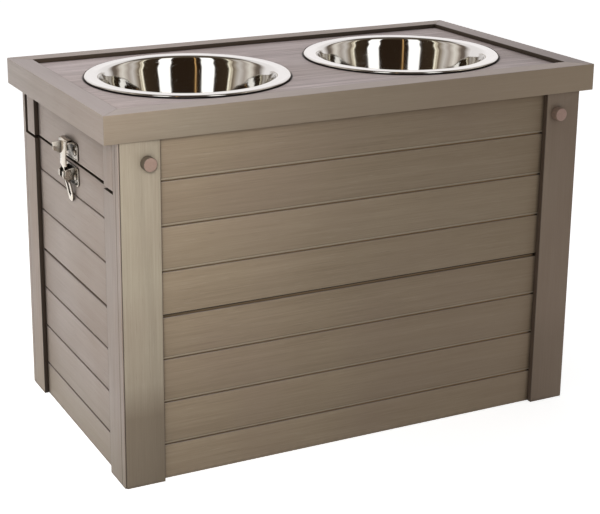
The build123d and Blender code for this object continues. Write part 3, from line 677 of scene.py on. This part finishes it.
def bowl_outline():
    """Inside from the centre outwards, round the rolled edge and back under to the centre."""
    top, low, floor = RIM_TOP, BOWL_BOTTOM, BOWL_BOTTOM + SHEET
    inside = [(0.0, floor + 0.0006), (0.030, floor + 0.0005), (0.062, floor + 0.0001)]
    inside += arc((0.0655, floor + 0.018), 0.018, -90, -12, 12)
    inside += [(0.0868, low + 0.030), (0.0945, low + 0.0592)]
    inside += arc((0.1015, top - 0.0039), 0.0037, 166, 92, 6)
    inside += [(0.1045, top - 0.00025), (0.1090, top - 0.0003)]
    rim = arc((0.1134, top - 0.0016), 0.0016, 100, -170, 14)
    outside = [(0.1100, top - 0.00135), (0.1045, top - 0.00125), (0.1022, top - 0.0018)]
    outside += [(0.0990, top - 0.0052), (0.0955, low + 0.0592), (0.0878, low + 0.0298)]
    outside += arc((0.0655, low + 0.019), 0.019, -12, -90, 12)
    outside += [(0.062, low), (0.030, low + 0.0004), (0.0, low + 0.0004)]
    return inside + rim + outside


outline = bowl_outline()
print(len(outline), "outline points, rim top at", round(RIM_TOP, 4))

# %% Lathe tree
def new_tree(name, inputs):
    """A Geometry Nodes tree from geometry to geometry, with more named inputs; returns its tree,
    input node and output node."""
    tree = bpy.data.node_groups.new(name, "GeometryNodeTree")
    tree.interface.new_socket(name="Geometry", in_out="INPUT", socket_type="NodeSocketGeometry")
    for label, kind, default in inputs:
        socket = tree.interface.new_socket(name=label, in_out="INPUT", socket_type="NodeSocket" + kind)
        if default is not None:
            socket.default_value = default
    tree.interface.new_socket(name="Geometry", in_out="OUTPUT", socket_type="NodeSocketGeometry")
    return tree, tree.nodes.new("NodeGroupInput"), tree.nodes.new("NodeGroupOutput")


def close_tree(tree, end, geometry, metal):
    """Make instances real, give the geometry its metal and send it out."""
    real = add(tree, "GeometryNodeRealizeInstances", i0=geometry)
    done = add(tree, "GeometryNodeSetMaterial", Geometry=real.outputs[0], Material=metal)
    tree.links.new(done.outputs[0], end.inputs[0])
    return tree


def build_lathe():
    """Turn an outline of points (radius, 0, height) about an upright axis."""
    tree, start, end = new_tree(
        "Spin Bowl",
        [("Rows", "Int", 150), ("Columns", "Int", 129), ("Axis X", "Float", 0.0),
         ("Steel", "Material", None)])
    curve = add(tree, "GeometryNodeMeshToCurve", Mesh=start.outputs["Geometry"])
    grid = add(tree, "GeometryNodeMeshGrid", Size_X=1.0, Size_Y=1.0, Vertices_X=start.outputs["Rows"],
               Vertices_Y=start.outputs["Columns"])
    place = axes(tree, add(tree, "GeometryNodeInputPosition").outputs[0])
    along = calc(tree, "ADD", place["X"], 0.5)
    angle = calc(tree, "MULTIPLY", calc(tree, "ADD", place["Y"], 0.5), math.tau)
    sample = add(tree, "GeometryNodeSampleCurve", {"mode": "FACTOR"}, Curves=curve.outputs[0], Factor=along)
    point = axes(tree, sample.outputs["Position"])
    x = calc(tree, "MULTIPLY", point["X"], calc(tree, "COSINE", angle))
    y = calc(tree, "MULTIPLY", point["X"], calc(tree, "SINE", angle))
    spun = vector(tree, X=calc(tree, "ADD", x, start.outputs["Axis X"]), Y=y, Z=point["Z"])
    turned = add(tree, "GeometryNodeSetPosition", Geometry=grid.outputs["Mesh"], Position=spun)
    closed = add(tree, "GeometryNodeMergeByDistance", Geometry=turned.outputs[0], Distance=SEAM)
    smooth = add(tree, "GeometryNodeSetShadeSmooth", i0=closed.outputs[0])
    return close_tree(tree, end, smooth.outputs[0], start.outputs["Steel"])


def run_tree(name, mesh, tree, values):
    """The plain mesh that a Geometry Nodes tree makes from a start mesh; values go in by input name."""
    seed = linked(name + "_start", mesh)
    modifier = seed.modifiers.new("tree", "NODES")
    modifier.node_group = tree
    names = {item.name: item.identifier for item in tree.interface.items_tree if item.in_out == "INPUT"}
    for label, value in values.items():
        modifier[names[label]] = value
    graph = bpy.context.evaluated_depsgraph_get()
    graph.update()
    result = bpy.data.meshes.new_from_object(seed.evaluated_get(graph), depsgraph=graph)
    seed.modifiers.remove(modifier)
    bpy.data.objects.remove(seed)
    result.name = name
    return result


def finished_piece(name, mesh, body, nodes):
    """A piece on a body, which stands in for the solids named."""
    piece = linked(name, mesh)
    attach(piece, body)
    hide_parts(*nodes)
    return piece


def face_outwards(mesh):
    """Merge doubles and turn every face outwards."""
    bm = bmesh.new()
    bm.from_mesh(mesh)
    bmesh.ops.remove_doubles(bm, verts=bm.verts, dist=SAME_POINT)
    bmesh.ops.recalc_face_normals(bm, faces=bm.faces)
    bm.to_mesh(mesh)
    bm.free()


LATHE = build_lathe()
for side, x, steel in (("left", -BOWL_X, LEFT_BOWL), ("right", BOWL_X, RIGHT_BOWL)):
    line = bpy.data.meshes.new(side + "_outline")
    line.from_pydata([(r, 0, z) for r, z in outline], [(i, i + 1) for i in range(len(outline) - 1)], [])
    spun = run_tree(side + "_bowl_spun", line, LATHE, {"Axis X": x, "Steel": steel})
    face_outwards(spun)
    bowl = finished_piece(side + "_bowl_spun", spun, side + "_bowl", [side + "_bowl"])
    print(side, "bowl:", len(spun.polygons), "faces", [round(v, 4) for v in bowl.dimensions])

# %% [markdown]
# ## The screws
# Eight small screws hold the latch plates. They repeat, so a Geometry Nodes tree sets them: it domes
# a short cylinder, cuts a cross recess, and puts one on each point it is given, each with its own
# turn from a fixed seed, because nobody lines up screws.

# %% Screw tree
HEAD_HEIGHT, DOME = 0.0018, 0.62
RECESS_REACH, RECESS_DEPTH = 1.15, 1.1


def build_screws():
    """A screw on every point of a mesh, all tilted alike and each turned at random."""
    tree, start, end = new_tree(
        "Set Screws",
        [("Head Radius", "Float", 0.0034), ("Head Height", "Float", HEAD_HEIGHT),
         ("Recess Width", "Float", 0.0009), ("Shank Radius", "Float", 0.0016),
         ("Shank Length", "Float", 0.008), ("Tilt", "Vector", None), ("Seed", "Int", 4),
         ("Metal", "Material", None)])
    radius, height = start.outputs["Head Radius"], start.outputs["Head Height"]

    def moved(mesh, offset):
        return add(tree, "GeometryNodeTransform", Geometry=mesh, Translation=offset).outputs[0]

    head = add(tree, "GeometryNodeMeshCylinder", Vertices=32, Side_Segments=3, Fill_Segments=5,
               Radius=radius, Depth=height)
    lifted = moved(head.outputs["Mesh"], vector(tree, Z=calc(tree, "DIVIDE", height, 2.0)))
    spot = axes(tree, add(tree, "GeometryNodeInputPosition").outputs[0])
    squares = [calc(tree, "MULTIPLY", spot[axis], spot[axis]) for axis in "XY"]
    share = calc(tree, "DIVIDE", calc(tree, "SQRT", calc(tree, "ADD", *squares)), radius)
    sink = calc(tree, "MULTIPLY", calc(tree, "MULTIPLY", calc(tree, "POWER", share, 3.0), DOME), spot["Z"])
    domed = add(tree, "GeometryNodeSetPosition", Geometry=lifted,
                Offset=vector(tree, Z=calc(tree, "MULTIPLY", sink, -1.0))).outputs[0]
    width, reach = start.outputs["Recess Width"], calc(tree, "MULTIPLY", radius, RECESS_REACH)
    up = vector(tree, Z=height)
    arms = []
    for x, y in ((reach, width), (width, reach)):
        size = vector(tree, X=x, Y=y, Z=calc(tree, "MULTIPLY", height, RECESS_DEPTH))
        arms.append(moved(add(tree, "GeometryNodeMeshCube", Size=size).outputs["Mesh"], up))
    recessed = add(tree, "GeometryNodeMeshBoolean", {"operation": "DIFFERENCE"}, Mesh_1=domed)
    for arm in arms:
        tree.links.new(arm, recessed.inputs["Mesh 2"])
    shank = add(tree, "GeometryNodeMeshCylinder", Vertices=20, Radius=start.outputs["Shank Radius"],
                Depth=start.outputs["Shank Length"])
    half_down = calc(tree, "MULTIPLY", start.outputs["Shank Length"], -0.5)
    sunk = moved(shank.outputs["Mesh"], vector(tree, Z=half_down))
    screw = tree.nodes.new("GeometryNodeJoinGeometry")
    for part in (recessed.outputs[0], sunk):
        tree.links.new(part, screw.inputs[0])

    turn = add(tree, "FunctionNodeRandomValue", {"data_type": "FLOAT"}, i2=0.0, i3=math.pi,
               Seed=start.outputs["Seed"])
    spin = add(tree, "FunctionNodeEulerToRotation", i0=vector(tree, Z=turn.outputs[1]))
    tilt = add(tree, "FunctionNodeEulerToRotation", i0=start.outputs["Tilt"])
    both = add(tree, "FunctionNodeRotateRotation", {"rotation_space": "LOCAL"}, i0=tilt.outputs[0],
               i1=spin.outputs[0])
    points = add(tree, "GeometryNodeMeshToPoints", Mesh=start.outputs["Geometry"])
    placed = add(tree, "GeometryNodeInstanceOnPoints", Points=points.outputs[0], Instance=screw.outputs[0],
                 Rotation=both.outputs[0])
    return close_tree(tree, end, placed.outputs[0], start.outputs["Metal"])


SCREWS = build_screws()
print("screw tree:", len(SCREWS.nodes), "nodes")

# %% Set the screws
SCREW_Y = 0.013
SEEDS = {"base": 4, "keeper": 9}
for side, out in (("left", -1), ("right", 1)):
    for plate, seed in SEEDS.items():
        node = f"{side}_latch_{plate}_screws"
        low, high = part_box(node)
        middle_z = (low[2] + high[2]) / 2
        face = (low[0] if out < 0 else high[0]) - out * HEAD_HEIGHT
        spots = bpy.data.meshes.new(node + "_spots")
        spots.from_pydata([(face, -SCREW_Y, middle_z), (face, SCREW_Y, middle_z)], [], [])
        values = {"Tilt": (0.0, out * math.pi / 2, 0.0), "Seed": seed, "Metal": FINISH["screw_metal"]}
        screws = run_tree(node + "_set", spots, SCREWS, values)
        screws.shade_smooth()
        screws.set_sharp_from_angle(angle=math.radians(32))
        piece = finished_piece(node + "_set", screws, BODY_OF[node], [node])
        print(node, len(screws.polygons), "faces", [round(v, 4) for v in piece.dimensions])

# %% [markdown]
# ## Studio
# A white sweep with four soft lamps: a narrow one from the front left, a low one behind the left
# end, a weak one near the floor at the front right, and a broad one above. The floor is a plain pale
# surface that takes the shadow. It only looks whiter to the camera and in reflections, so no extra
# light falls on the object. Polished metal shows a room, which a ramp paints by compass heading.

# %% Floor, world and lights
EVEN_LIGHT = 0.345
ROOM_TURN, GLEAM = 0.3684, 0.078
GLEAM_GOLD, CEILING, LOW_WALL = (0.95, 0.56, 0.22), (0.10, 0.075, 0.05), (0.42, 0.36, 0.29)
WHITE = (1, 1, 1)
FLOOR_REACH, FLOOR_SEEN, FLOOR_MIRRORED = 15, 0.76, 0.55


def make_floor():
    """A plain floor that adds its own glow for the camera and in reflections only."""
    corners = [(x * FLOOR_REACH, y * FLOOR_REACH, 0) for x, y in ((-1, -1), (1, -1), (1, 1), (-1, 1))]
    mesh = bpy.data.meshes.new("studio_floor")
    mesh.from_pydata(corners, [], [(0, 1, 2, 3)])
    floor = linked("studio_floor", mesh)
    material, tree, shader = new_material("studio_floor_paint", (0.86, 0.86, 0.86), roughness=0.9)
    shader.inputs["Specular IOR Level"].default_value = 0.0
    path = add(tree, "ShaderNodeLightPath").outputs
    seen = calc(tree, "MAXIMUM", path["Is Camera Ray"], path["Is Transmission Ray"])
    mirrored = calc(tree, "MULTIPLY", path["Is Glossy Ray"], FLOOR_MIRRORED)
    strength = calc(tree, "ADD", calc(tree, "MULTIPLY", seen, FLOOR_SEEN), mirrored)
    glow = add(tree, "ShaderNodeEmission", Color=WHITE, Strength=strength)
    both = add(tree, "ShaderNodeAddShader", i0=shader.outputs[0], i1=glow.outputs[0])
    surface = next(n for n in tree.nodes if n.type == "OUTPUT_MATERIAL")
    give(tree, surface, Surface=both.outputs[0])
    mesh.materials.append(material)


ROOM_STOPS = (
    (0.000, (0.030, 0.018, 0.010)), (0.122, (0.030, 0.018, 0.010)),
    (0.132, (2.0, 1.98, 1.94)), (0.220, (2.0, 1.98, 1.94)),
    (0.230, (0.040, 0.026, 0.015)), (0.350, (0.055, 0.036, 0.020)),
    (0.358, (1.60, 1.50, 1.22)), (0.366, (1.50, 1.40, 1.12)), (0.372, (0.45, 0.38, 0.28)),
    (0.378, (0.95, 0.86, 0.68)), (0.384, (0.85, 0.76, 0.58)), (0.392, (0.18, 0.13, 0.09)),
    (0.408, (0.42, 0.35, 0.27)), (0.450, (0.85, 0.80, 0.75)), (0.495, (0.55, 0.48, 0.42)),
    (0.550, (1.05, 0.99, 0.90)), (0.580, (0.85, 0.78, 0.70)), (0.600, (0.45, 0.38, 0.32)),
    (0.625, (0.20, 0.16, 0.13)), (0.655, (0.20, 0.16, 0.13)),
    (0.700, (0.90, 0.85, 0.82)), (0.730, (1.17, 1.13, 1.13)),
)


def make_world(diffuse_strength):
    """Even light on everything; straight to the camera it is white. Polished metal sees a room: tall
    white panels with dark gaps on the camera's side, and a white wall behind the object."""
    world = bpy.data.worlds.new("studio_world")
    bpy.context.scene.world = world
    world.use_nodes = True
    tree = world.node_tree
    tree.nodes.clear()
    path = add(tree, "ShaderNodeLightPath").outputs
    turned = add(tree, "ShaderNodeVectorRotate", {"rotation_type": "Z_AXIS"},
                 Vector=add(tree, "ShaderNodeTexCoord").outputs["Generated"], Angle=ROOM_TURN)
    way = axes(tree, turned.outputs[0])
    heading = calc(tree, "ARCTAN2", way["X"], calc(tree, "MULTIPLY", way["Y"], -1.0))
    share = calc(tree, "DIVIDE", calc(tree, "ABSOLUTE", heading), math.pi)
    ramp = add(tree, "ShaderNodeValToRGB", i0=share)
    stops = ramp.color_ramp.elements
    while len(stops) > 1:
        stops.remove(stops[-1])
    stops[0].position, stops[0].color = ROOM_STOPS[0][0], (*ROOM_STOPS[0][1], 1)
    for position, tone in ROOM_STOPS[1:]:
        stops.new(position).color = (*tone, 1)
    overhead = remap(tree, way["Z"], 0.70, 0.82, 0.0, 0.94)
    low = remap(tree, way["Z"], 0.05, 0.11)
    aside = calc(tree, "ADD", calc(tree, "DIVIDE", heading, math.pi), 1.0)
    gleam = use_group(tree, BAND, Distance=aside, Place=1.0 - GLEAM, Reach=0.007, Fade=0.005)
    room = blend_colour(tree, gleam.outputs["Mask"], ramp.outputs[0], GLEAM_GOLD)
    room = blend_colour(tree, overhead, room, CEILING)
    room = blend_colour(tree, low, LOW_WALL, room)
    plain = blend_colour(tree, path["Is Glossy Ray"], WHITE, room)
    seen = calc(tree, "MAXIMUM", path["Is Camera Ray"], path["Is Glossy Ray"])
    seen = calc(tree, "MAXIMUM", seen, path["Is Transmission Ray"])
    strength = calc(tree, "ADD", diffuse_strength, calc(tree, "MULTIPLY", seen, 1.0 - diffuse_strength))
    sky = add(tree, "ShaderNodeBackground", Color=plain, Strength=strength)
    add(tree, "ShaderNodeOutputWorld", i0=sky.outputs[0])


def soft_light(name, place, target, size, watts, spread=180):
    """A rectangular lamp at a place, turned to a target and left out of reflections."""
    data = bpy.data.lights.new(name, "AREA")
    data.shape, data.size, data.size_y, data.energy = "RECTANGLE", size[0], size[1], watts
    data.spread = math.radians(spread)
    lamp = linked(name, data)
    lamp.location = place
    lamp.visible_glossy = False
    lamp.rotation_euler = (Vector(target) - Vector(place)).to_track_quat("-Z", "Y").to_euler()


make_floor()
make_world(EVEN_LIGHT)
soft_light("key_left", (-0.60, -0.85, 0.66), (-0.36, -0.15, 0.31), (0.35, 0.35), 0.60, 50)
soft_light("side_fill", (-0.98, 0.95, 0.12), (-0.28, 0, 0.28), (0.25, 0.25), 3.4)
soft_light("floor_bounce", (0.45, -0.62, 0.05), (0.16, -0.15, 0.08), (0.40, 0.08), 0.10)
soft_light("top_fill", (-0.5, 0.5, 1.7), (-0.1, 0.1, 0.4), (1.0, 1.0), 7.5)
print("studio ready")

# %% [markdown]
# ## Camera
# The camera stands in front of the left end, some way above the lid, and looks down by sixteen
# degrees. A longish lens keeps the chest's sides nearly upright, and a small shift frames it.

# %% Place the camera
FOCAL_PX, FRAME_WIDTH, SENSOR, SHIFT = 1489.73, 600, 36.0, (0.1, -0.1283)
YAW, PITCH, ROLL = 0.4406, 0.2788, -0.0007
STAND = (-0.7749, -1.4889, 0.7435)
forward = Vector((math.sin(YAW) * math.cos(PITCH), math.cos(YAW) * math.cos(PITCH), -math.sin(PITCH)))
level = Vector((math.cos(YAW), -math.sin(YAW), 0))
upward = level.cross(forward)
right = level * math.cos(ROLL) + upward * math.sin(ROLL)
upward = upward * math.cos(ROLL) - level * math.sin(ROLL)
lens = bpy.data.cameras.new("studio_camera")
camera = linked("studio_camera", lens)
turn = Matrix((right, upward, -forward)).transposed().to_4x4()
camera.matrix_world = Matrix.Translation(STAND) @ turn
lens.sensor_width, lens.lens = SENSOR, FOCAL_PX / FRAME_WIDTH * SENSOR
lens.shift_x, lens.shift_y = SHIFT
lens.clip_start, lens.clip_end = 0.05, 60
bpy.context.scene.camera = camera
bpy.context.scene.view_settings.view_transform = "Standard"
print("camera at", [round(c, 3) for c in camera.matrix_world.translation])
